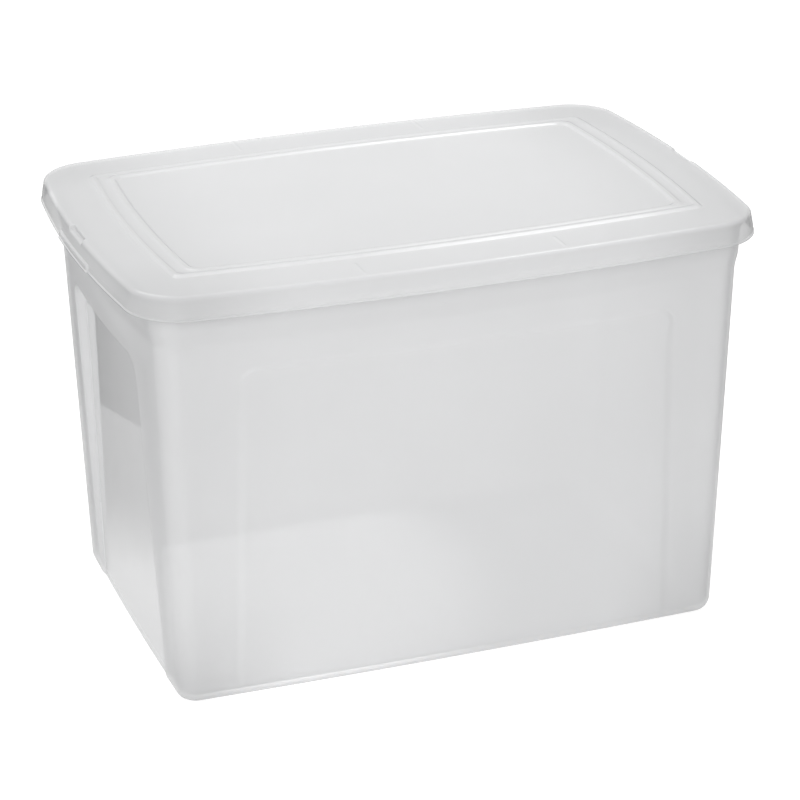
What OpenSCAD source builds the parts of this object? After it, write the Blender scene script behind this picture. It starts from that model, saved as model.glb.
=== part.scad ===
// Portable file box: a tapered, bowed tub with a lid that presses down over its rim.
// Millimetres, +Z up. The origin is at the middle of the underside, on the surface
// the box stands on. +X runs along the long side.

/* [Lid] */
// Length of the lid's top, across the middle of its short sides
lid_len = 480; // [460:1:500]
// Width of the lid's top, across the middle of its long sides
lid_wid = 326.2; // [312:1:340]
// Corner radius of the lid's outline
lid_corner = 29.8; // [26:0.2:34]
// How far the long sides bow outwards at their middle
bow_long = 10.5; // [6:0.5:12]
// How far the short sides bow outwards at their middle
bow_short = 10.1; // [6:0.5:12]
// Height of the lid's top face above the ground
lid_top = 324; // [322:0.5:326]
// Depth of the lid's skirt below its top face
skirt_h = 17.4; // [16:0.2:19]
// How far the skirt flares outwards on its way down
skirt_flare = 2.6; // [2:0.1:3]
// Wall thickness of the lid
lid_wall = 2; // [1.6:0.1:2.2]
// Width of the flat frame, from the lid's edge to the foot of the locating bead
frame_w = 37; // [34:0.5:40]
// Width of the locating bead that runs round the centre panel
bead_w = 13; // [11:0.5:15]
// Height of the locating bead
bead_h = 1.6; // [0.8:0.1:1.8]

/* [Lid details] */
// Half the length of the pull tab on each short side
tab_half = 40; // [30:1:48]
// How far the pull tab stands out of the skirt
tab_out = 1.6; // [0.8:0.1:2]
// Height of the pull tab
tab_h = 5.5; // [4:0.5:7]
// Half the length of the thumb notch above each pull tab
notch_half = 18; // [14:1:22]
// Distance of the two stiffening ridges from the middle of each long side
ridge_x = 75; // [66:1:84]

/* [Tub] */
// Length of the tub at the ground, before the bottom edge is rounded
base_len = 429.6; // [420:0.2:436]
// Width of the tub at the ground, before the bottom edge is rounded
base_wid = 276; // [268:0.2:280]
// Length of the tub's walls at the rim
rim_len = 461.5; // [458:0.5:464]
// Width of the tub's walls at the rim
rim_wid = 308.1; // [305:0.5:310]
// Height of the tub's rim
tub_h = 321; // [320:0.5:321]
// Corner radius of the tub's walls
tub_corner = 15; // [14:0.5:17]
// Wall thickness of the tub
wall = 2; // [1.6:0.1:2.2]
// Width of the flange that turns outwards at the rim
flange_w = 5.6; // [5:0.1:5.8]

/* [Wall fields] */
// Height of the top edge of the grip field on each short side
grip_top = 256.5; // [240:0.5:262]
// Depth of the grip field at its top
grip_deep = 8; // [4:0.5:9]
// Depth of the grip field at the ground
grip_low = 3.5; // [2:0.5:4]
// Half the width of the grip field at its top
grip_half = 87; // [80:1:90]
// Height of the top edge of the raised field on each long side
field_top = 262.2; // [240:0.2:268]
// How far the field on each long side stands out of the wall
field_high = 1; // [0.4:0.1:1.2]
// Half the width of the raised field at its top
field_half = 166.5; // [155:0.5:168]

/* [Hidden] */
arc_n = 6;
base_bow_long = 3.4;
base_bow_short = 1.9;
collar = 1.8;
grip_run = 4;
field_run = 3;
field_side_run = 7.5;
grip_round = 17;
field_round = 15;
milky = [0.86, 0.87, 0.88, 0.75];
clearer = [0.9, 0.91, 0.92, 0.8];

function lerp(a, b, t) = a + (b - a) * t;
function unit(v) = min(1, max(0, v));

// One quarter of a rounded rectangle, from the middle of the front to the middle
// of the right side. hx and hy are its half sizes at the corners, xs and ys the
// stations along the two straight runs.
function quarter(hx, hy, r, xs, ys) = concat(
    [for (x = xs) [x, -hy]],
    [for (i = [0 : arc_n]) let (t = -90 + 90 * i / arc_n)
        [hx - r + r * cos(t), -(hy - r) + r * sin(t)]],
    [for (y = ys) [hx, -y]]);

// The whole outline, anticlockwise from the middle of the front
function whole(q) = let (n = len(q)) concat(
    [for (i = [0 : n - 2]) q[i]],
    [for (i = [n - 1 : -1 : 1]) [q[i][0], -q[i][1]]],
    [for (i = [0 : n - 2]) [-q[i][0], -q[i][1]]],
    [for (i = [n - 1 : -1 : 1]) [-q[i][0], q[i][1]]]);

// Bows the four sides outwards and leaves the corners where they are
function bowed(p, hx, hy, bl, bs) = [
    p[0] + bs * p[0] / hx * (1 - pow(p[1] / hy, 2)),
    p[1] + bl * p[1] / hy * (1 - pow(p[0] / hx, 2))];

// Signed distance to a field with rounded top corners that is open at the bottom
function field_dist(u, v, half, top, r) = let (a = abs(u) - (half - r), b = v - (top - r))
    min(max(a, b), 0) + norm([max(a, 0), max(b, 0)]) - r;

// Where a line that lies inset inside such a field's edge crosses height v. Above
// the line's own top it stays least beyond the start of the rounded corner.
function field_line(v, half, top, r, inset, least) = let (b = max(0, v - (top - r)))
    half - r + max(least, sqrt(max(0, pow(r - inset, 2) - b * b)));

// The heights that follow a field's rounded top corner
function field_steps(top, r, run) = [for (b = [0, 0.5 * (r - run), 0.85 * (r - run), r - run,
    r - 0.35 * run, r]) top - r + b];

// Sorts heights, then drops any that lies closer than 0.4 above the one before
function sorted(v) = len(v) < 2 ? v : let (p = v[floor(len(v) / 2)])
    concat(sorted([for (x = v) if (x < p) x]), [p], sorted([for (x = v) if (x > p) x]));
function spaced(v) = [for (i = [0 : len(v) - 1]) if (i == 0 || v[i] - v[i - 1] > 0.4) v[i]];

// Joins equal rings of points into one closed skin, with a flat face at each end
module skin(rings) {
    n = len(rings[0]);
    m = len(rings);
    polyhedron(
        points = [for (r = rings) each r],
        faces = concat(
            [[for (i = [0 : n - 1]) i]],
            [for (k = [0 : m - 2]) for (i = [0 : n - 1]) each [
                [k * n + i, (k + 1) * n + i, (k + 1) * n + (i + 1) % n],
                [k * n + i, (k + 1) * n + (i + 1) % n, k * n + (i + 1) % n]]],
            [[for (i = [n - 1 : -1 : 0]) (m - 1) * n + i]]));
}

// ---- tub ----

function grip_edge(z) = grip_half + 9 * unit(1 - z / grip_top);
function field_edge(z) = field_half + 6 * unit(1 - z / field_top);
// The slope up to the raised field is steep along its top and gentle down its sides
function field_soft(z) = lerp(field_run, field_side_run, unit((field_top - z - 4) / 20));
function grip_depth(y, z) = lerp(grip_low, grip_deep, unit(z / grip_top))
    * unit(-field_dist(y, z, grip_edge(z), grip_top, grip_round) / grip_run);
function field_rise(x, z) = field_high * unit(z / 14)
    * unit(-field_dist(x, z, field_edge(z), field_top, field_round) / field_soft(z));

// A ring of the tub: z is its height, e its offset outwards from the wall line,
// and t the wall thickness that the recessed grip fields push inwards with it
function tub_ring(z, e, t) =
    let (k = z / tub_h,
         a = lerp(base_len, rim_len, k) / 2 + e, b = lerp(base_wid, rim_wid, k) / 2 + e,
         bl = lerp(base_bow_long, bow_long, k), bs = lerp(base_bow_short, bow_short, k),
         hx = a - bs, hy = b - bl, r = max(tub_corner + (e > collar ? 2 * e : e), 4),
         xc = field_edge(z) - field_round, yc = grip_edge(z) - grip_round,
         xs = concat([0, 0.3 * xc, 0.6 * xc, 0.85 * xc],
             [field_line(z, field_edge(z), field_top, field_round, field_soft(z), 0),
              field_line(z, field_edge(z), field_top, field_round, 0, 1)]),
         ys = concat([field_line(z, grip_edge(z), grip_top, grip_round, 0, 1),
              field_line(z, grip_edge(z), grip_top, grip_round, grip_run, 0)],
             [0.75 * yc, 0.4 * yc, 0]))
    [for (p = whole(quarter(hx, hy, r, xs, ys)))
        let (g = abs(p[0]) > hx - 0.001 ? grip_depth(p[1], z) : 0,
             f = abs(p[1]) > hy - 0.001 ? field_rise(p[0], z) : 0,
             dx = g > 0 ? max(0, e + g + t) : 0,
             q = bowed(p, hx, hy, bl, bs))
        [q[0] - sign(p[0]) * dx, q[1] + sign(p[1]) * f, z]];

tub_outside = [
    // the underside, raised inside a foot that drops over the bead of a lid below
    [2, -10.6], [0, -9.4], [0, -6], [0.9, -3.2], [3.2, -1.1], [6.5, -0.2], [9.5, 0],
    [14, 0], [60, 0], [110, 0], [160, 0], [195, 0]];
tub_heights = spaced(sorted(concat(field_steps(grip_top, grip_round, grip_run),
    field_steps(field_top, field_round, field_run))));

module tub() {
    color(milky) skin(concat(
        [for (s = tub_outside) tub_ring(s[0], s[1], 0)],
        [for (z = tub_heights) tub_ring(z, 0, 0)],
        // the collar, and the flange with its turned-down lip
        [tub_ring(285, 0, 0), tub_ring(290, collar, 0), tub_ring(tub_h - 5, collar, 0),
         tub_ring(tub_h - 2.5, collar + 0.4, 0), tub_ring(tub_h - 2.5, flange_w - 1.8, 0),
         tub_ring(tub_h - 6, flange_w - 1.7, 0), tub_ring(tub_h - 6, flange_w, 0),
         tub_ring(tub_h - 0.5, flange_w, 0), tub_ring(tub_h, flange_w - 0.5, 0),
         // the inside, from the rim down to the floor
         tub_ring(tub_h, collar - wall, 0), tub_ring(290, collar - wall, 0),
         tub_ring(285, -wall, wall)],
        [for (i = [len(tub_heights) - 1 : -1 : 0]) tub_ring(tub_heights[i], -wall, wall)],
        [for (z = [195, 160, 110, 60, 14]) tub_ring(z, -wall, wall)],
        [tub_ring(9, -wall - 0.3, wall), tub_ring(6, -wall - 1.4, wall),
         tub_ring(4.4, -wall - 3.6, wall), tub_ring(4, -wall - 6.5, wall)]));
}

// ---- lid ----

// A ring of the lid: s is its distance inside the lid's edge and z its height
// above the lid's top face. Tab, notch and ridge are how much of each detail
// reaches this ring.
function lid_ring(s, z, tab = 0, notch = undef, ridge = 0) =
    let (a = lid_len / 2 - s, b = lid_wid / 2 - s,
         bl = bow_long * pow(2 * a / lid_len, 2), bs = bow_short * pow(2 * b / lid_wid, 2),
         hx = a - bs, hy = b - bl, r = max(lid_corner - s, 8),
         xs = [0, 30, 60, ridge_x - 1.5, ridge_x, ridge_x + 1.5, 110, 145],
         ys = [80, 60, tab_half, tab_half - 1, (tab_half + notch_half) / 2, notch_half,
               notch_half - 1.5, notch_half / 2, 0])
    [for (p = whole(quarter(hx, hy, r, xs, ys)))
        let (short = abs(p[0]) > hx - 0.001,
             long = abs(p[1]) > hy - 0.001,
             in_notch = short && abs(p[1]) < notch_half - 1 && notch != undef,
             out = (short && abs(p[1]) < tab_half - 0.5 ? tab : 0) + (in_notch ? s - notch[0] : 0),
             up = (long && abs(abs(p[0]) - ridge_x) < 0.5 ? ridge : 0),
             q = bowed(p, hx, hy, bl, bs))
        [q[0] + sign(p[0]) * out, q[1], lid_top + (in_notch ? notch[1] : z) + up]];

bead_in = frame_w + bead_w;
bead_c = bead_in - bead_w / 2;

module lid() {
    color(clearer) skin([
        // the centre panel, the bead and the flat frame
        lid_ring(bead_in, 0), lid_ring(bead_in - 4.2, bead_h * 0.9), lid_ring(bead_c, bead_h),
        lid_ring(frame_w + 4.2, bead_h * 0.9), lid_ring(frame_w, 0),
        lid_ring(28, 0), lid_ring(26, 0, ridge = 0.5), lid_ring(7, 0, ridge = 0.5),
        lid_ring(5, 0),
        // the rounded edge, with a thumb notch in it above each tab
        lid_ring(2.6, 0, notch = [3, 0]), lid_ring(0.6, -0.54, notch = [2.4, -0.4]),
        lid_ring(-0.86, -2, notch = [2.1, -3.1]), lid_ring(-1.34, -3.6, notch = [-0.9, -3.5]),
        lid_ring(-1.5, -4.6),
        // the skirt, with a pull tab in the middle of each short side
        lid_ring(-1.34 - skirt_flare * 0.6, -skirt_h + tab_h + 0.8),
        lid_ring(-1.34 - skirt_flare * 0.62, -skirt_h + tab_h, tab = tab_out),
        lid_ring(-1.34 - skirt_flare * 0.85, -skirt_h + 2.4, tab = tab_out),
        lid_ring(-1.8 - skirt_flare * 0.85, -skirt_h + 1.8, tab = tab_out),
        lid_ring(-1.5 - skirt_flare, -skirt_h, tab = tab_out),
        // the inside of the skirt and the underside
        lid_ring(lid_wall - 1.34 - skirt_flare, -skirt_h),
        lid_ring(lid_wall - 1.34 - skirt_flare * 0.6, -skirt_h + tab_h + 0.8),
        lid_ring(lid_wall - 1.5, -5.2), lid_ring(lid_wall - 1.3, -4.6, notch = [0.4, -4.8]),
        lid_ring(1.6, -2.7, notch = [3.2, -4.6]), lid_ring(2.6, -lid_wall, notch = [3.3, -lid_wall]),
        lid_ring(frame_w, -lid_wall), lid_ring(frame_w + 4.2, bead_h * 0.9 - lid_wall),
        lid_ring(bead_in - 4.2, bead_h * 0.9 - lid_wall), lid_ring(bead_in, -lid_wall)]);
}

tub();
lid();
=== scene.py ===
from math import cos, sin, pi, sqrt

import bpy
from mathutils import Matrix, Vector


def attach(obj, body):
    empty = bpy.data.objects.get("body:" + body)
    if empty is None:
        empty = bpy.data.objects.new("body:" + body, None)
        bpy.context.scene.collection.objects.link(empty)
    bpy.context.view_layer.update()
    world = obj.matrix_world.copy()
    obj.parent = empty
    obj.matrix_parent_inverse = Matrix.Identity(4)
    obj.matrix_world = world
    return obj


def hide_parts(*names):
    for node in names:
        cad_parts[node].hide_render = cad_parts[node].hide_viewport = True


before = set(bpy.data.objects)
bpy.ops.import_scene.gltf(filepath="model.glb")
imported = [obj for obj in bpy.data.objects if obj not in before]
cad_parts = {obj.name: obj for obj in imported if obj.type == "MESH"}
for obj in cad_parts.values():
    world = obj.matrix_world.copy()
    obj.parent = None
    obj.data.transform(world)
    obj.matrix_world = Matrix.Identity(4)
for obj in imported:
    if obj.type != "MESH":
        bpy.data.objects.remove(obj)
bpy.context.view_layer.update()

MM = 0.001

# ------------------------------------------------------------------ sizes, in mm

LID_LEN, LID_WID, LID_R = 480.0, 326.2, 29.8
BOW_L, BOW_S = 10.5, 10.1
LID_TOP, SKIRT_H, FLARE, LID_T = 324.0, 17.4, 2.6, 2.0
FRAME_W, BEAD_W, BEAD_H, GROOVE = 36.5, 16.2, 1.4, 0.8
TAB_HALF, TAB_OUT, TAB_H, NOTCH_HALF, RIDGE_X = 40.0, 1.6, 5.5, 18.0, 75.0

BASE_LEN, BASE_WID, RIM_LEN, RIM_WID = 429.6, 276.0, 461.5, 308.1
BASE_BOW_L, BASE_BOW_S, TUB_H, TUB_R, TUB_T = 3.4, 1.9, 321.0, 15.0, 2.0
COLLAR, FLANGE = 1.8, 5.6
GRIP_TOP, GRIP_DEEP, GRIP_LOW, GRIP_HALF, GRIP_R, GRIP_RUN = 256.5, 8.0, 3.5, 87.0, 17.0, 4.6
FIELD_TOP, FIELD_HIGH, FIELD_HALF, FIELD_R, FIELD_RUN, FIELD_SIDE = 262.2, 1.0, 166.5, 15.0, 3.4, 8.0


def lerp(a, b, t):
    return a + (b - a) * t


def unit(v):
    return min(1.0, max(0.0, v))


def smooth(v):
    v = unit(v)
    return v * v * (3 - 2 * v)


# ------------------------------------------------------------------ outlines


def quarter(hx, hy, r, xs, ys, arc):
    """Middle of the front to the middle of the right side."""
    pts = [(x, -hy, "l") for x in xs]
    for i in range(arc + 1):
        t = -pi / 2 + pi / 2 * i / arc
        tag = "l" if i == 0 else "s" if i == arc else "c"
        pts.append((hx - r + r * cos(t), -(hy - r) + r * sin(t), tag))
    return pts + [(hx, -y, "s") for y in ys]


def whole(q):
    """The quarter and its three mirror images, anticlockwise from above."""
    n = len(q)
    out = [(q[i][0], q[i][1], q[i][2]) for i in range(n - 1)]
    out += [(q[i][0], -q[i][1], q[i][2]) for i in range(n - 1, 0, -1)]
    out += [(-q[i][0], -q[i][1], q[i][2]) for i in range(n - 1)]
    out += [(-q[i][0], q[i][1], q[i][2]) for i in range(n - 1, 0, -1)]
    return out


def bowed(x, y, hx, hy, bl, bs):
    return (x + bs * x / hx * (1 - (y / hy) ** 2), y + bl * y / hy * (1 - (x / hx) ** 2))


def field_dist(u, v, half, top, r):
    a, b = abs(u) - (half - r), v - (top - r)
    return min(max(a, b), 0.0) + sqrt(max(a, 0.0) ** 2 + max(b, 0.0) ** 2) - r


def sign(v):
    return (v > 0) - (v < 0)


def steps(a, b, n):
    """n equal steps from a to b, without b."""
    return [lerp(a, b, i / n) for i in range(n)]


def make_object(name, rings, body, faces_first=True, faces_last=True, flip=False):
    """One closed skin through equal rings of points, in millimetres."""
    n = len(rings[0])
    verts = [(p[0] * MM, p[1] * MM, p[2] * MM) for r in rings for p in r]
    faces = []
    for k in range(len(rings) - 1):
        for i in range(n):
            j = (i + 1) % n
            faces.append((k * n + i, k * n + j, (k + 1) * n + j, (k + 1) * n + i))
    if faces_first:
        faces.append(tuple(range(n - 1, -1, -1)))
    if faces_last:
        m = (len(rings) - 1) * n
        faces.append(tuple(range(m, m + n)))
    if flip:
        faces = [tuple(reversed(f)) for f in faces]
    mesh = bpy.data.meshes.new(name)
    mesh.from_pydata(verts, [], faces)
    mesh.validate()
    mesh.update()
    for p in mesh.polygons:
        p.use_smooth = True
    obj = bpy.data.objects.new(name, mesh)
    bpy.context.scene.collection.objects.link(obj)
    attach(obj, body)
    return obj


# ------------------------------------------------------------------ tub


def grip_edge(z):
    return GRIP_HALF + 9 * unit(1 - z / GRIP_TOP)


def field_edge(z):
    return FIELD_HALF + 6 * unit(1 - z / FIELD_TOP)


def grip_depth(y, z):
    d = field_dist(y, z, grip_edge(z), GRIP_TOP, GRIP_R)
    return lerp(GRIP_LOW, GRIP_DEEP, unit(z / GRIP_TOP)) * smooth(-d / GRIP_RUN)


def field_rise(x, z):
    d = field_dist(x, z, field_edge(z), FIELD_TOP, FIELD_R)
    run = lerp(FIELD_RUN, FIELD_SIDE, smooth((FIELD_TOP - z - 4) / 20))
    return FIELD_HIGH * smooth(z / 14) * smooth(-d / run)


def tub_ring(z, e, t):
    k = z / TUB_H
    a = lerp(BASE_LEN, RIM_LEN, k) / 2 + e
    b = lerp(BASE_WID, RIM_WID, k) / 2 + e
    bl, bs = lerp(BASE_BOW_L, BOW_L, k), lerp(BASE_BOW_S, BOW_S, k)
    hx, hy = a - bs, b - bl
    r = max(TUB_R + (2 * e if e > COLLAR else e), 4.0)
    fe, ge = field_edge(z), grip_edge(z)
    x0 = hx - r
    y0 = hy - r
    xs = steps(0, fe - 24, 9) + steps(fe - 24, fe - 16, 3) + steps(fe - 16, fe + 1.5, 18)
    xs += steps(fe + 1.5, max(x0, fe + 3), 4)
    ys = [-v for v in steps(-(y0 - (y0 - ge - 1.5) / 5), -(ge + 1.5), 4)]
    ys += [-v for v in steps(-(ge + 1.5), -(ge - 19), 20)]
    ys += [-v for v in steps(-(ge - 19), 0, 8)] + [0.0]
    out = []
    for x, y, tag in whole(quarter(hx, hy, r, xs, ys, 14)):
        dx = dy = 0.0
        if tag == "s":
            g = grip_depth(y, z)
            dx = max(0.0, e + g + t) if g > 0 else 0.0
        if tag == "l":
            dy = -field_rise(x, z)
        px, py = bowed(x, y, hx, hy, bl, bs)
        out.append((px - sign(x) * dx, py - sign(y) * dy, z))
    return out


def shrunk(ring, k):
    return [(x * k, y * k, z) for x, y, z in ring]


def tub_rings():
    prof = [(2, -14, 0), (2, -11.4, 0), (1.85, -10.9, 0), (1.4, -10.4, 0),
            (0.5, -9.9, 0), (0.12, -9.6, 0), (0, -9.2, 0), (0, -7.6, 0)]
    for i in range(11):
        th = pi / 2 * i / 10
        prof.append((9.5 * (1 - cos(th)), -6 + 6 * sin(th), 0))
    heights = [14, 20] + [lerp(20, 232, i / 14) for i in range(1, 15)]
    heights += [lerp(232, 264, i / 26) for i in range(1, 27)]
    heights += [270, 276]
    prof += [(z, 0, 0) for z in heights]
    for i in range(9):
        v = i / 8
        prof.append((lerp(280.0, 295.0, v), COLLAR * smooth(v), 0))
    prof += [(298, COLLAR, 0), (306, COLLAR, 0), (313, COLLAR, 0), (316, COLLAR, 0)]
    # the flange with its turned-down lip
    prof += [(317.4, COLLAR + 0.1, 0), (318.1, COLLAR + 0.4, 0), (318.5, COLLAR + 0.9, 0),
             (318.5, FLANGE - 2.2, 0), (318.3, FLANGE - 1.95, 0), (317.9, FLANGE - 1.8, 0),
             (315.6, FLANGE - 1.7, 0), (315.15, FLANGE - 1.5, 0), (315, FLANGE - 1.1, 0),
             (315, FLANGE - 0.5, 0), (315.2, FLANGE - 0.15, 0), (315.6, FLANGE, 0),
             (320, FLANGE, 0), (320.6, FLANGE - 0.2, 0), (320.9, FLANGE - 0.5, 0),
             (321, FLANGE - 1.0, 0), (321, COLLAR - TUB_T + 0.9, 0),
             (320.85, COLLAR - TUB_T + 0.3, 0), (320.4, COLLAR - TUB_T, 0),
             (316, COLLAR - TUB_T, 0), (306, COLLAR - TUB_T, 0), (298, COLLAR - TUB_T, 0)]
    for i in range(9):
        v = 1 - i / 8
        prof.append((lerp(280.0, 295.0, v), lerp(-TUB_T, COLLAR - TUB_T, smooth(v)), TUB_T * (1 - smooth(v))))
    prof += [(z, -TUB_T, TUB_T) for z in reversed(heights)]
    for i in range(9):
        th = pi / 2 * i / 8
        prof.append((4 + 7 * (1 - sin(th)), -TUB_T - 5.5 * (1 - cos(th)), TUB_T))
    prof.append((4, -TUB_T - 12, TUB_T))
    rings = [tub_ring(z, e, t) for z, e, t in prof]
    middle = (0.25, 0.5, 0.75)
    return [shrunk(rings[0], k) for k in middle] + rings + [shrunk(rings[-1], k) for k in reversed(middle)]


# ------------------------------------------------------------------ lid


def between(marks, v):
    """The smooth line through marks, (place, height) each, at v."""
    for (v0, h0), (v1, h1) in zip(marks, marks[1:]):
        if v < v1:
            return lerp(h0, h1, smooth((v - v0) / (v1 - v0)))
    return marks[-1][1]


def wider(s):
    """How much nearer to the lid's short sides a line runs than to its long ones."""
    return between(((14.0, 0.0), (36.5, 3.9), (43.2, 4.5), (46.2, 0.0)), s)


def lid_ring(s, z, tab=0.0, notch=None, ridge=0.0, lip=0.0):
    a, b = LID_LEN / 2 - s + wider(s), LID_WID / 2 - s
    bl = BOW_L * (2 * a / LID_LEN) ** 2
    bs = BOW_S * (2 * b / LID_WID) ** 2
    hx, hy = a - bs, b - bl
    r = max(LID_R - s, 4 + 4 * smooth((s - 42) / 4))
    x0 = hx - r
    y0 = hy - r
    kx = x0 / 200.0
    xs = [v * kx for v in (0, 16, 32, 48, 62, 70, 72.6, 73.4, 74.2, 75.0, 75.8, 76.6, 77.4, 80, 90, 104, 120, 140, 160, 180)]
    if s < 60:
        xs = [v if v < 100 else lerp(100, x0, (v - 100) / 100) for v in
              (0, 16, 32, 48, 62, 70, 72.6, 73.4, 74.2, 75.0, 75.8, 76.6, 77.4, 80, 90, 104, 120, 140, 160, 180)]
    ys0 = (112, 96, 80, 64, 52, 44, 42, 41.2, 40.6, 40, 39.4, 38.8, 38, 34, 28, 22, 19.5, 18.6, 18, 17.4, 16.6, 15.4, 14, 9, 4, 0)
    if s < 45:
        ys = [v if v < 50 else lerp(50, y0, (v - 50) / 80) for v in ys0]
    else:
        ys = [v * y0 / 130 for v in ys0]
    out = []
    for x, y, tag in whole(quarter(hx, hy, r, xs, ys, 18)):
        off, zz = 0.0, z
        if tag == "s":
            ya = abs(y)
            off += tab * smooth((TAB_HALF + 0.9 - ya) / 1.8)
            if notch is not None:
                w = smooth((NOTCH_HALF + 0.4 - ya) / 3.4)
                off += (s - notch[0]) * w
                zz = lerp(z, notch[1], w)
        if tag == "l" and ridge:
            zz += ridge * smooth(1 - abs(abs(x) - RIDGE_X) / 1.4)
        px, py = bowed(x, y, hx, hy, bl, bs)
        if lip and tag == "l" and py < 0 and 0 <= x <= 17:
            py += lip
        out.append((px + sign(x) * off, py, LID_TOP + zz))
    return out


BEAD_IN = FRAME_W + BEAD_W


def bead(s):
    """Height of the locating bead, which has a shallow groove along its middle."""
    low = BEAD_H - GROOVE
    return between(((FRAME_W, 0.0), (40.1, BEAD_H), (41.6, BEAD_H), (44.7, low), (47.6, BEAD_H),
                    (49.5, BEAD_H), (BEAD_IN, 0.0)), s)


def lid_rings():
    rings = []
    for s in (150, 125, 100, 80, 66, 58, 54):
        rings.append(lid_ring(s, 0))
    for i in range(49):
        u = FRAME_W + BEAD_W * (1 - i / 48)
        rings.append(lid_ring(u, bead(u)))
    for s, q in ((36, 0), (34, 0), (30, 0), (27.5, 0), (26.8, 0.08), (26, 0.2), (25, 0.3), (16, 0.3), (8, 0.3), (6, 0.25), (5, 0.15), (4.2, 0.06)):
        rings.append(lid_ring(s, 0, ridge=q))
    # the rounded edge: a quarter round of 3.6 mm, with the thumb notch's two steps
    ntc = [(3.0, 0.0), (2.95, -0.02), (2.8, -0.06), (2.6, -0.2), (2.45, -0.6), (2.4, -1.2),
           (2.35, -1.8), (2.3, -2.4), (2.2, -2.9), (1.6, -3.2), (0.6, -3.35)]
    for i in range(11):
        th = pi / 2 * i / 10
        s = 2.6 - 3.9 * sin(th)
        z = -3.6 * (1 - cos(th))
        rings.append(lid_ring(s, z, notch=ntc[i]))
    rings.append(lid_ring(-1.36, -3.95, notch=(-0.6, -3.85)))
    rings.append(lid_ring(-1.42, -4.4, notch=(-1.25, -4.35)))
    rings.append(lid_ring(-1.5, -5.0))
    rings.append(lid_ring(-1.34 - FLARE * 0.35, -8.0))
    # down the skirt to the tab, round it, and to the skirt's lower edge
    z0 = -SKIRT_H + TAB_H
    rings.append(lid_ring(-1.34 - FLARE * 0.55, z0 + 1.1))
    rings.append(lid_ring(-1.34 - FLARE * 0.58, z0 + 0.7, tab=0.02))
    rings.append(lid_ring(-1.34 - FLARE * 0.60, z0 + 0.45, tab=TAB_OUT * 0.35))
    rings.append(lid_ring(-1.34 - FLARE * 0.61, z0 + 0.3, tab=TAB_OUT * 0.75))
    rings.append(lid_ring(-1.34 - FLARE * 0.62, z0, tab=TAB_OUT * 0.95))
    rings.append(lid_ring(-1.34 - FLARE * 0.64, z0 - 0.4, tab=TAB_OUT))
    rings.append(lid_ring(-1.34 - FLARE * 0.68, -SKIRT_H + 3.2, tab=TAB_OUT))
    rings.append(lid_ring(-1.34 - FLARE * 0.7, -SKIRT_H + 2.3, tab=TAB_OUT * 0.95))
    # a thin lip runs round the skirt's lower edge
    rings.append(lid_ring(-1.34 - FLARE * 0.71, -SKIRT_H + 1.9, tab=TAB_OUT * 0.9))
    rings.append(lid_ring(-1.34 - FLARE * 0.8, -SKIRT_H + 1.7, tab=TAB_OUT * 0.85, lip=0.2))
    rings.append(lid_ring(-1.48 - FLARE * 0.95, -SKIRT_H + 1.35, tab=TAB_OUT * 0.8, lip=0.65))
    rings.append(lid_ring(-1.5 - FLARE, -SKIRT_H + 1.0, tab=TAB_OUT * 0.8, lip=0.75))
    rings.append(lid_ring(-1.5 - FLARE, -SKIRT_H + 0.5, tab=TAB_OUT * 0.8, lip=0.75))
    rings.append(lid_ring(-1.4 - FLARE, -SKIRT_H + 0.15, tab=TAB_OUT * 0.8, lip=0.7))
    rings.append(lid_ring(-1.1 - FLARE, -SKIRT_H, tab=TAB_OUT * 0.75, lip=0.5))
    # the inside of the skirt and the underside
    rings.append(lid_ring(LID_T - 1.6 - FLARE, -SKIRT_H))
    rings.append(lid_ring(LID_T - 1.34 - FLARE, -SKIRT_H + 0.3))
    rings.append(lid_ring(LID_T - 1.34 - FLARE * 0.6, z0 + 0.8))
    rings.append(lid_ring(LID_T - 1.5, -5.4))
    rings.append(lid_ring(LID_T - 1.4, -4.9, notch=(0.4, -5.2)))
    for i in range(1, 7):
        th = pi / 2 * i / 6
        rings.append(lid_ring(2.6 - 2.0 * cos(th), -LID_T - 2.6 * (1 - sin(th)), notch=(lerp(0.9, 3.4, i / 6), -LID_T - 2.9 * (1 - smooth(i / 6)))))
    rings.append(lid_ring(8, -LID_T))
    rings.append(lid_ring(20, -LID_T))
    for i in range(21):
        u = FRAME_W + BEAD_W * i / 20
        rings.append(lid_ring(u, bead(u) - LID_T))
    for s in (58, 80, 110, 150):
        rings.append(lid_ring(s, -LID_T))
    return rings


# ------------------------------------------------------------------ materials


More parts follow.
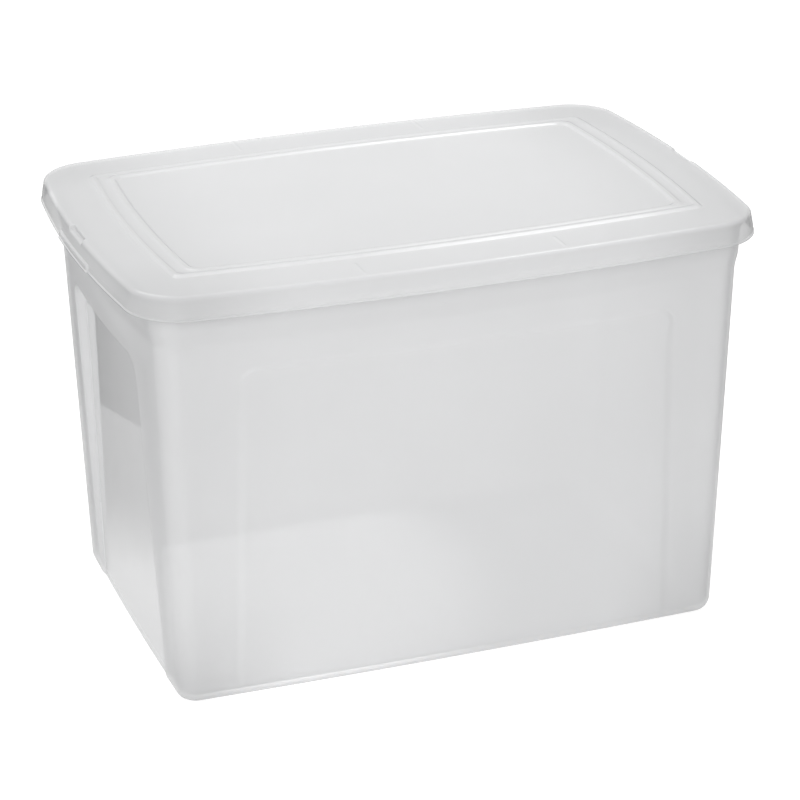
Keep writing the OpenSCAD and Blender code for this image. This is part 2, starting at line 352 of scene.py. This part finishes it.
def plastic(name, color, alpha, rough, level, bump, grain, corner_shade, milk=0.02, short_side_shade=0.0):
    mat = bpy.data.materials.new(name)
    mat.use_nodes = True
    nt = mat.node_tree
    p = nt.nodes["Principled BSDF"]
    tc = nt.nodes.new("ShaderNodeTexCoord")
    # slow changes in how milky the plastic is
    cloud = nt.nodes.new("ShaderNodeTexNoise")
    cloud.inputs["Scale"].default_value = 9.0
    cloud.inputs["Detail"].default_value = 2.0
    cloud.inputs["Roughness"].default_value = 0.45
    nt.links.new(tc.outputs["Object"], cloud.inputs["Vector"])
    ramp = nt.nodes.new("ShaderNodeMapRange")
    ramp.inputs["From Min"].default_value = 0.3
    ramp.inputs["From Max"].default_value = 0.7
    ramp.inputs["To Min"].default_value = 1 - milk
    ramp.inputs["To Max"].default_value = 1.0
    nt.links.new(cloud.outputs["Fac"], ramp.inputs["Value"])
    tint = nt.nodes.new("ShaderNodeMix")
    tint.data_type = "RGBA"
    tint.blend_type = "MULTIPLY"
    tint.inputs["Factor"].default_value = 1.0
    tint.inputs["A"].default_value = (*color, 1)
    # painted shade: the base colour darkens towards the ends of each wall, near the corners
    split = nt.nodes.new("ShaderNodeSeparateXYZ")
    nt.links.new(tc.outputs["Object"], split.inputs["Vector"])
    near = []
    for socket, a, b in (("X", 0.11, 0.222), ("Y", 0.06, 0.145)):
        size = nt.nodes.new("ShaderNodeMath")
        size.operation = "ABSOLUTE"
        nt.links.new(split.outputs[socket], size.inputs[0])
        band = nt.nodes.new("ShaderNodeMapRange")
        band.interpolation_type = "SMOOTHSTEP"
        band.inputs["From Min"].default_value = a
        band.inputs["From Max"].default_value = b
        nt.links.new(size.outputs[0], band.inputs["Value"])
        near.append(band.outputs["Result"])
    corner_shade_mask = nt.nodes.new("ShaderNodeMath")
    corner_shade_mask.operation = "MULTIPLY"
    nt.links.new(near[0], corner_shade_mask.inputs[0])
    nt.links.new(near[1], corner_shade_mask.inputs[1])
    # the painted shade is weaker on top, where the lid is flat
    flat = nt.nodes.new("ShaderNodeMapRange")
    flat.inputs["From Min"].default_value = 0.319
    flat.inputs["From Max"].default_value = 0.3236
    flat.inputs["To Min"].default_value = 1.0
    flat.inputs["To Max"].default_value = 0.3
    nt.links.new(split.outputs["Z"], flat.inputs["Value"])
    side = nt.nodes.new("ShaderNodeMath")
    side.operation = "MULTIPLY"
    nt.links.new(corner_shade_mask.outputs[0], side.inputs[0])
    nt.links.new(flat.outputs["Result"], side.inputs[1])
    # and the painted shade is stronger low down
    low = nt.nodes.new("ShaderNodeMapRange")
    low.interpolation_type = "SMOOTHSTEP"
    low.inputs["From Min"].default_value = 0.0
    low.inputs["From Max"].default_value = 0.11
    low.inputs["To Min"].default_value = 2.8
    low.inputs["To Max"].default_value = 1.0
    nt.links.new(split.outputs["Z"], low.inputs["Value"])
    foot = nt.nodes.new("ShaderNodeMath")
    foot.operation = "MULTIPLY"
    nt.links.new(side.outputs[0], foot.inputs[0])
    nt.links.new(low.outputs["Result"], foot.inputs[1])
    # this carries the painted corner shade into the base colour
    dim = nt.nodes.new("ShaderNodeMapRange")
    dim.clamp = False
    dim.inputs["To Min"].default_value = 1.0
    dim.inputs["To Max"].default_value = 1 - corner_shade
    nt.links.new(foot.outputs[0], dim.inputs["Value"])
    # painted shade: the base colour darkens towards the short sides (set only for the lid)
    short = nt.nodes.new("ShaderNodeMapRange")
    short.inputs["To Min"].default_value = 1.0
    short.inputs["To Max"].default_value = 1 - short_side_shade
    nt.links.new(near[0], short.inputs["Value"])
    slow = nt.nodes.new("ShaderNodeMath")
    slow.operation = "MULTIPLY"
    nt.links.new(ramp.outputs["Result"], slow.inputs[0])
    nt.links.new(short.outputs["Result"], slow.inputs[1])
    both = nt.nodes.new("ShaderNodeMath")
    both.operation = "MULTIPLY"
    nt.links.new(slow.outputs[0], both.inputs[0])
    nt.links.new(dim.outputs["Result"], both.inputs[1])
    nt.links.new(both.outputs[0], tint.inputs["B"])
    nt.links.new(tint.outputs["Result"], p.inputs["Base Color"])
    # fine moulded grain, and how it scatters the shine
    fine = nt.nodes.new("ShaderNodeTexNoise")
    fine.inputs["Scale"].default_value = grain
    fine.inputs["Detail"].default_value = 3.0
    nt.links.new(tc.outputs["Object"], fine.inputs["Vector"])
    rr = nt.nodes.new("ShaderNodeMapRange")
    rr.inputs["To Min"].default_value = rough * 0.85
    rr.inputs["To Max"].default_value = rough * 1.15
    nt.links.new(fine.outputs["Fac"], rr.inputs["Value"])
    nt.links.new(rr.outputs["Result"], p.inputs["Roughness"])
    wave = nt.nodes.new("ShaderNodeTexNoise")
    wave.inputs["Scale"].default_value = 14.0
    wave.inputs["Detail"].default_value = 1.0
    nt.links.new(tc.outputs["Object"], wave.inputs["Vector"])
    b1 = nt.nodes.new("ShaderNodeBump")
    b1.inputs["Strength"].default_value = 1.0
    b1.inputs["Distance"].default_value = 0.00012
    nt.links.new(wave.outputs["Fac"], b1.inputs["Height"])
    b2 = nt.nodes.new("ShaderNodeBump")
    b2.inputs["Strength"].default_value = bump
    b2.inputs["Distance"].default_value = 0.00004
    nt.links.new(fine.outputs["Fac"], b2.inputs["Height"])
    nt.links.new(b1.outputs["Normal"], b2.inputs["Normal"])
    nt.links.new(b2.outputs["Normal"], p.inputs["Normal"])
    p.inputs["Alpha"].default_value = alpha
    p.inputs["IOR"].default_value = 1.5
    p.inputs["Specular IOR Level"].default_value = level
    return mat


# the number after the grain scale sets how strong the painted corner shade is
tub_mat = plastic("tub_milky", (0.915, 0.918, 0.925), 0.6, 0.36, 0.45, 0.5, 900.0, 0.075)
tub_gloss = plastic("tub_polished", (0.92, 0.923, 0.93), 0.8, 0.04, 1.0, 0.0, 900.0, 0.08)
lid_mat = plastic("lid_milky", (0.9, 0.903, 0.91), 0.62, 0.2, 0.55, 0.4, 900.0, 0.1, short_side_shade=0.085)

tub = make_object("tub_shell", tub_rings(), "tub")
tub.data.materials.append(tub_mat)
tub.data.materials.append(tub_gloss)
for f in tub.data.polygons:
    x, y, z = (v / MM for v in f.center)
    n = f.normal
    if abs(n.x) > 0.9 and n.x * x > 0 and z > 8 and abs(x) > 195 and field_dist(y, z, grip_edge(z), GRIP_TOP, GRIP_R) < -GRIP_RUN * 0.8 and z < GRIP_TOP:
        f.material_index = 1
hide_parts("tub")

lid = make_object("lid_shell", lid_rings(), "lid", flip=True)
lid.data.materials.append(lid_mat)
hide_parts("lid")

# ------------------------------------------------------------------ stage, light, camera

scene = bpy.context.scene
FLOOR_SEEN, FLOOR_LIT, GLOW_NEAR, GLOW_FAR = 0.87, 0.32, 1.7, 0.9
SHADOW, UNDER_SPOT, SPOT = 0.6, 1.3, (-0.09, 0.05, 0.165, 0.22)

floor_mesh = bpy.data.meshes.new("floor")
floor_mesh.from_pydata([(-9, -9, 0), (9, -9, 0), (9, 9, 0), (-9, 9, 0)], [], [(0, 1, 2, 3)])
floor = bpy.data.objects.new("floor", floor_mesh)
scene.collection.objects.link(floor)
floor.location.z = -0.0004
fm = bpy.data.materials.new("floor_white")
fm.use_nodes = True
floor_mesh.materials.append(fm)


def maths(tree, op, a, b=0.0, name=""):
    n = tree.nodes.new("ShaderNodeMath")
    n.operation = op
    for socket, v in zip(n.inputs, (a, b)):
        if isinstance(v, (int, float)):
            socket.default_value = v
        else:
            tree.links.new(v, socket)
    if name:
        n.name = name
    return n.outputs[0]


def along(tree, vector, axis):
    n = tree.nodes.new("ShaderNodeVectorMath")
    n.operation = "DOT_PRODUCT"
    tree.links.new(vector, n.inputs[0])
    n.inputs[1].default_value = axis
    return n.outputs["Value"]


def ramp(tree, v, a, b, to_a, to_b):
    n = tree.nodes.new("ShaderNodeMapRange")
    n.interpolation_type = "SMOOTHSTEP"
    n.inputs["From Min"].default_value = a
    n.inputs["From Max"].default_value = b
    n.inputs["To Min"].default_value = to_a
    n.inputs["To Max"].default_value = to_b
    tree.links.new(v, n.inputs["Value"])
    return n.outputs["Result"]


# A white sweep: glowing enough to be pure white, with a painted soft shadow under the box. Seen only in the gloss,
# it carries a painted reflection of a studio round the box: white paper that ends in a dark gap behind on the left
# and on the right, and a stronger glow in front.
ft = fm.node_tree
fp = ft.nodes["Principled BSDF"]
fp.inputs["Base Color"].default_value = (0.3, 0.3, 0.3, 1)
fp.inputs["Roughness"].default_value = 0.9
fp.inputs["Specular IOR Level"].default_value = 0.0
fp.inputs["Emission Color"].default_value = (1, 1, 1, 1)
place = ft.nodes.new("ShaderNodeTexCoord").outputs["Object"]
rays = ft.nodes.new("ShaderNodeLightPath")
lit = maths(ft, "MULTIPLY", rays.outputs["Is Diffuse Ray"], FLOOR_LIT, "floor_lit")
seen = maths(ft, "MULTIPLY", maths(ft, "SUBTRACT", 1.0, rays.outputs["Is Diffuse Ray"]), FLOOR_SEEN, "floor_seen")
# painted light: a brighter glowing spot on the floor under the tub shows the bottom of the tub through its milky
# walls
px, py = (maths(ft, "ABSOLUTE", along(ft, place, axis)) for axis in ((1, 0, 0), (0, 1, 0)))
foot = maths(ft, "MULTIPLY", ramp(ft, px, 0.19, 0.208, 1.0, 0.0), ramp(ft, py, 0.12, 0.134, 1.0, 0.0))
qx = maths(ft, "POWER", maths(ft, "DIVIDE", maths(ft, "ADD", along(ft, place, (1, 0, 0)), -SPOT[0]), SPOT[2]), 2.0)
qy = maths(ft, "POWER", maths(ft, "DIVIDE", maths(ft, "ADD", along(ft, place, (0, 1, 0)), -SPOT[1]), SPOT[3]), 2.0)
spot = ramp(ft, maths(ft, "ADD", qx, qy), 0.45, 1.3, 1.0, 0.0)
bright = maths(ft, "MULTIPLY", foot, spot)
under = maths(ft, "MULTIPLY", bright, UNDER_SPOT, "under_spot")
# painted shadow: the floor's glow is dimmed under the box, round the bright spot
shade = maths(ft, "SUBTRACT", 1.0, maths(ft, "MULTIPLY", maths(ft, "SUBTRACT", foot, bright), SHADOW, "shadow"))
seen = maths(ft, "MULTIPLY", seen, shade)
ft.links.new(maths(ft, "ADD", maths(ft, "ADD", lit, seen), under), fp.inputs["Emission Strength"])
fm.cycles.emission_sampling = "NONE"
# painted reflection: this glow pattern is seen only by glossy rays
far = along(ft, place, (-0.72, 0.70, 0))
reflected_paper = maths(ft, "MULTIPLY", ramp(ft, far, 0.21, 0.37, 0.9, 0.33), ramp(ft, far, 0.487, 0.495, 1.0, 0.0))
reflected_paper = maths(ft, "ADD", reflected_paper, ramp(ft, far, 0.82, 1.0, 0.0, 0.2))
reflected_paper = maths(ft, "MULTIPLY", reflected_paper, ramp(ft, along(ft, place, (0.8, 0.6, 0)), 0.24, 0.42, 1.0, 0.0))
ahead = along(ft, place, (0.309, -0.951, 0))
side = maths(ft, "DIVIDE", along(ft, place, (0.951, 0.309, 0)), maths(ft, "MAXIMUM", ahead, 0.3))
side = maths(ft, "ABSOLUTE", maths(ft, "ADD", side, 0.045))
wedge = ramp(ft, side, 0.02, 0.22, 1.0, 0.0)
near_glow = maths(ft, "MULTIPLY", wedge, maths(ft, "MULTIPLY", ramp(ft, ahead, 0.62, 0.78, 0.0, 1.0), ramp(ft, ahead, 1.0, 1.5, 1.0, 0.0)))
far_glow = maths(ft, "MULTIPLY", wedge, ramp(ft, ahead, 1.5, 2.2, 0.0, 1.0))
glow = maths(ft, "ADD", maths(ft, "MULTIPLY", near_glow, GLOW_NEAR, "glow_near"), maths(ft, "MULTIPLY", far_glow, GLOW_FAR, "glow_far"))
mirrored = ft.nodes.new("ShaderNodeEmission")
ft.links.new(maths(ft, "ADD", maths(ft, "MULTIPLY", reflected_paper, 1.0, "reflected_paper"), glow), mirrored.inputs["Strength"])
pick = ft.nodes.new("ShaderNodeMixShader")
ft.links.new(rays.outputs["Is Glossy Ray"], pick.inputs["Fac"])
ft.links.new(fp.outputs["BSDF"], pick.inputs[1])
ft.links.new(mirrored.outputs["Emission"], pick.inputs[2])
ft.links.new(pick.outputs["Shader"], ft.nodes["Material Output"].inputs["Surface"])

LOBES = [
    ((0, 0, 1), 0.0, 0.4),
    ((0, -1, 0.25), 5.0, 1.5),
    ((-0.7, -0.7, 0.25), 8.0, 2.8),
    ((-0.7, 0.7, 0.25), 8.0, 0.8),
    ((0, 1, 0.25), 5.0, 0.42),
    ((1, 0, 0.25), 5.0, 0.15),
    ((0.7, 0.7, 0.25), 8.0, 0.1),
]
world = bpy.data.worlds.new("studio")
scene.world = world
world.use_nodes = True
wn = world.node_tree
bg = wn.nodes["Background"]
bg.inputs["Color"].default_value = (1, 1, 1, 1)
bg.inputs["Strength"].default_value = 1.0
# what lights the box: pale studio walls, as soft lobes of light round it
light = wn.nodes.new("ShaderNodeBackground")
coords = wn.nodes.new("ShaderNodeTexCoord")


level = None
for i, (axis, power, strength) in enumerate(LOBES):
    lobe = maths(wn, "POWER", maths(wn, "MAXIMUM", along(wn, coords.outputs["Generated"], Vector(axis).normalized()), 0.0), power)
    part = maths(wn, "MULTIPLY", lobe, strength, "lobe_%d" % i)
    level = part if level is None else maths(wn, "ADD", level, part)
path = wn.nodes.new("ShaderNodeLightPath")
# in the gloss the walls are never brighter than white paper
excess = maths(wn, "MAXIMUM", maths(wn, "SUBTRACT", level, 1.0), 0.0)
level = maths(wn, "SUBTRACT", level, maths(wn, "MULTIPLY", excess, path.outputs["Is Glossy Ray"]))
wn.links.new(level, light.inputs["Strength"])
pick = wn.nodes.new("ShaderNodeMixShader")
wn.links.new(path.outputs["Is Camera Ray"], pick.inputs["Fac"])
wn.links.new(light.outputs["Background"], pick.inputs[1])
wn.links.new(bg.outputs["Background"], pick.inputs[2])
wn.links.new(pick.outputs["Shader"], wn.nodes["World Output"].inputs["Surface"])


def area(name, loc, aim, size, power, size_y=None):
    """A soft box. One with no aim hangs level, with size along X and size_y along Y."""
    data = bpy.data.lights.new(name, "AREA")
    data.shape = "RECTANGLE"
    data.size = size
    data.size_y = size_y or size
    data.energy = power
    obj = bpy.data.objects.new(name, data)
    scene.collection.objects.link(obj)
    obj.location = loc
    if aim:
        obj.rotation_euler = (Vector(aim) - Vector(loc)).to_track_quat("-Z", "Y").to_euler()
    return obj


area("top_box", (0.75, 0.42, 1.9), None, 0.5, 8.8, 0.36)
area("fill_box", (-0.06, 0.1, 1.1), None, 0.3, 0.7)
area("back_box", (-0.35, 1.1, 1.7), (0, 0, 0.3), 0.8, 6.5, 0.5)
area("corner_box", (-1.2, -0.13, 1.8), (-0.2, -0.13, 0.32), 0.25, 1.2)

cam_data = bpy.data.cameras.new("camera")
cam_data.sensor_width = 36
cam_data.lens = 130.94
cam_data.clip_end = 50
cam = bpy.data.objects.new("camera", cam_data)
scene.collection.objects.link(cam)
r2 = Vector((0.94000536, -0.34100412, -0.01030083))
u2 = Vector((0.14251808, 0.36507165, 0.92000614))
back = Vector((-0.30996535, -0.86627875, 0.39176856))
m = Matrix((r2, u2, back)).transposed().to_4x4()
m.translation = Vector((-0.68696, -1.93538, 1.02980))
cam.matrix_world = m
scene.camera = cam
scene.view_settings.view_transform = "Standard"
scene.view_settings.look = "None"
scene.cycles.use_denoising = True
scene.cycles.max_bounces = 16
scene.cycles.transparent_max_bounces = 32
